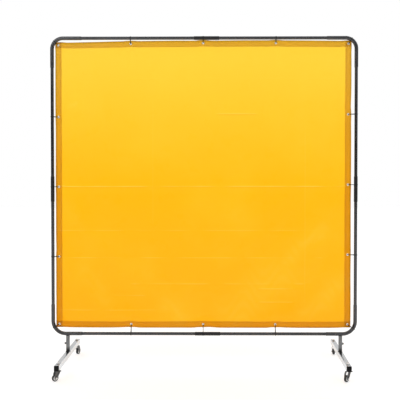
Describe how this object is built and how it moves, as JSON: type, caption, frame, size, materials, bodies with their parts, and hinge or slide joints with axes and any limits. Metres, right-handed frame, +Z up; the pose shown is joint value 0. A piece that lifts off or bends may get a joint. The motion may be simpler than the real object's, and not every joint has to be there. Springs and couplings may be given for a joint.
{
  "type": "welding curtain screen",
  "caption": "Free-standing welding screen: a sheet tied into a round-tube frame by its eyelets, on two turning cross legs with swivel casters, three of them braked.",
  "frame": {"origin": "on the floor, under the middle of the tube frame", "axes": "+X along the screen to the right, +Y from the face that is seen first to the back, along the legs, +Z up"},
  "size_m": [1.834, 0.6006, 1.976],
  "materials": {
    "tube_steel": "glossy dark grey coat over steel tube",
    "coupler_black": "gloss black",
    "leg_chrome": "bright plated",
    "zinc_steel": "zinc plated, slightly dull",
    "sheet_vinyl": "translucent yellow vinyl sheet, soft gloss",
    "tie_nylon": "black nylon",
    "cap_plastic": "black moulded plastic",
    "wheel_rubber": "dark rubber tread on a grey hub"
  },
  "bodies": {
    "frame": {"corner_top_left": "tube_steel", "corner_top_right": "tube_steel", "corner_bottom_left": "tube_steel", "corner_bottom_right": "tube_steel", "tube_top_left": "tube_steel", "tube_top_right": "tube_steel", "coupler_top": "coupler_black", "tube_bottom_left": "tube_steel", "tube_bottom_right": "tube_steel", "coupler_bottom": "coupler_black", "tube_left_lower": "tube_steel", "tube_left_upper": "tube_steel", "coupler_left": "coupler_black", "tube_right_lower": "tube_steel", "tube_right_upper": "tube_steel", "coupler_right": "coupler_black", "curtain": "sheet_vinyl", "tie_top_1": "tie_nylon", "tie_bottom_1": "tie_nylon", "tie_left_1": "tie_nylon", "tie_right_1": "tie_nylon", "tie_top_2": "tie_nylon", "tie_bottom_2": "tie_nylon", "tie_left_2": "tie_nylon", "tie_right_2": "tie_nylon", "tie_top_3": "tie_nylon", "tie_bottom_3": "tie_nylon", "tie_left_3": "tie_nylon", "tie_right_3": "tie_nylon", "tie_top_left": "tie_nylon", "tie_top_right": "tie_nylon", "tie_bottom_left": "tie_nylon", "tie_bottom_right": "tie_nylon"},
    "leg_left": {"leg_left": "leg_chrome", "end_cap_left_front": "cap_plastic", "end_cap_left_rear": "cap_plastic", "stem_left_front": "zinc_steel", "stem_left_rear": "zinc_steel"},
    "lock_bolt_left": {"lock_bolt_left": "zinc_steel"},
    "caster_left_front": {"fork_left_front": "zinc_steel", "axle_left_front": "zinc_steel"},
    "wheel_left_front": {"wheel_left_front": "wheel_rubber"},
    "brake_left_front": {"brake_lever_left_front": "zinc_steel"},
    "caster_left_rear": {"fork_left_rear": "zinc_steel", "axle_left_rear": "zinc_steel"},
    "wheel_left_rear": {"wheel_left_rear": "wheel_rubber"},
    "brake_left_rear": {"brake_lever_left_rear": "zinc_steel"},
    "leg_right": {"leg_right": "leg_chrome", "end_cap_right_front": "cap_plastic", "end_cap_right_rear": "cap_plastic", "stem_right_front": "zinc_steel", "stem_right_rear": "zinc_steel"},
    "lock_bolt_right": {"lock_bolt_right": "zinc_steel"},
    "caster_right_front": {"fork_right_front": "zinc_steel", "axle_right_front": "zinc_steel"},
    "wheel_right_front": {"wheel_right_front": "wheel_rubber"},
    "brake_right_front": {"brake_lever_right_front": "zinc_steel"},
    "caster_right_rear": {"fork_right_rear": "zinc_steel", "axle_right_rear": "zinc_steel"},
    "wheel_right_rear": {"wheel_right_rear": "wheel_rubber"}
  },
  "joints": [
    {"name": "leg_turn_left", "type": "hinge", "parent": "frame", "child": "leg_left", "pos_m": [-0.816, 0, 0.14], "axis": [0, 0, 1], "continuous": true},
    {"name": "lock_bolt_turn_left", "type": "hinge", "parent": "leg_left", "child": "lock_bolt_left", "pos_m": [-0.832, -0.00021, 0.142], "axis": [-0.9999, -0.0131, 0], "continuous": true},
    {"name": "swivel_left_front", "type": "hinge", "parent": "leg_left", "child": "caster_left_front", "pos_m": [-0.81257, -0.26198, 0.057], "axis": [0, 0, 1], "continuous": true},
    {"name": "wheel_spin_left_front", "type": "hinge", "parent": "caster_left_front", "child": "wheel_left_front", "pos_m": [-0.8249, -0.27509, 0.019], "axis": [-0.7284, 0.6852, 0], "continuous": true},
    {"name": "brake_left_front", "type": "hinge", "parent": "caster_left_front", "child": "brake_left_front", "pos_m": [-0.8249, -0.27509, 0.019], "axis": [-0.7284, 0.6852, 0], "range_deg": [0, 20]},
    {"name": "swivel_left_rear", "type": "hinge", "parent": "leg_left", "child": "caster_left_rear", "pos_m": [-0.81943, 0.26198, 0.057], "axis": [0, 0, 1], "continuous": true},
    {"name": "wheel_spin_left_rear", "type": "hinge", "parent": "caster_left_rear", "child": "wheel_left_rear", "pos_m": [-0.8135, 0.27897, 0.019], "axis": [0.9441, -0.3297, 0], "continuous": true},
    {"name": "brake_left_rear", "type": "hinge", "parent": "caster_left_rear", "child": "brake_left_rear", "pos_m": [-0.8135, 0.27897, 0.019], "axis": [0.9441, -0.3297, 0], "range_deg": [0, 20]},
    {"name": "leg_turn_right", "type": "hinge", "parent": "frame", "child": "leg_right", "pos_m": [0.816, 0, 0.14], "axis": [0, 0, 1], "continuous": true},
    {"name": "lock_bolt_turn_right", "type": "hinge", "parent": "leg_right", "child": "lock_bolt_right", "pos_m": [0.83197, -0.00098, 0.142], "axis": [0.9981, -0.061, 0], "continuous": true},
    {"name": "swivel_right_front", "type": "hinge", "parent": "leg_right", "child": "caster_right_front", "pos_m": [0.80001, -0.26151, 0.057], "axis": [0, 0, 1], "continuous": true},
    {"name": "wheel_spin_right_front", "type": "hinge", "parent": "caster_right_front", "child": "wheel_right_front", "pos_m": [0.78832, -0.2752, 0.019], "axis": [-0.7604, 0.6494, 0], "continuous": true},
    {"name": "brake_right_front", "type": "hinge", "parent": "caster_right_front", "child": "brake_right_front", "pos_m": [0.78832, -0.2752, 0.019], "axis": [-0.7604, 0.6494, 0], "range_deg": [0, 20]},
    {"name": "swivel_right_rear", "type": "hinge", "parent": "leg_right", "child": "caster_right_rear", "pos_m": [0.83199, 0.26151, 0.057], "axis": [0, 0, 1], "continuous": true},
    {"name": "wheel_spin_right_rear", "type": "hinge", "parent": "caster_right_rear", "child": "wheel_right_rear", "pos_m": [0.83681, 0.27886, 0.019], "axis": [0.9636, -0.2672, 0], "continuous": true}
  ]
}
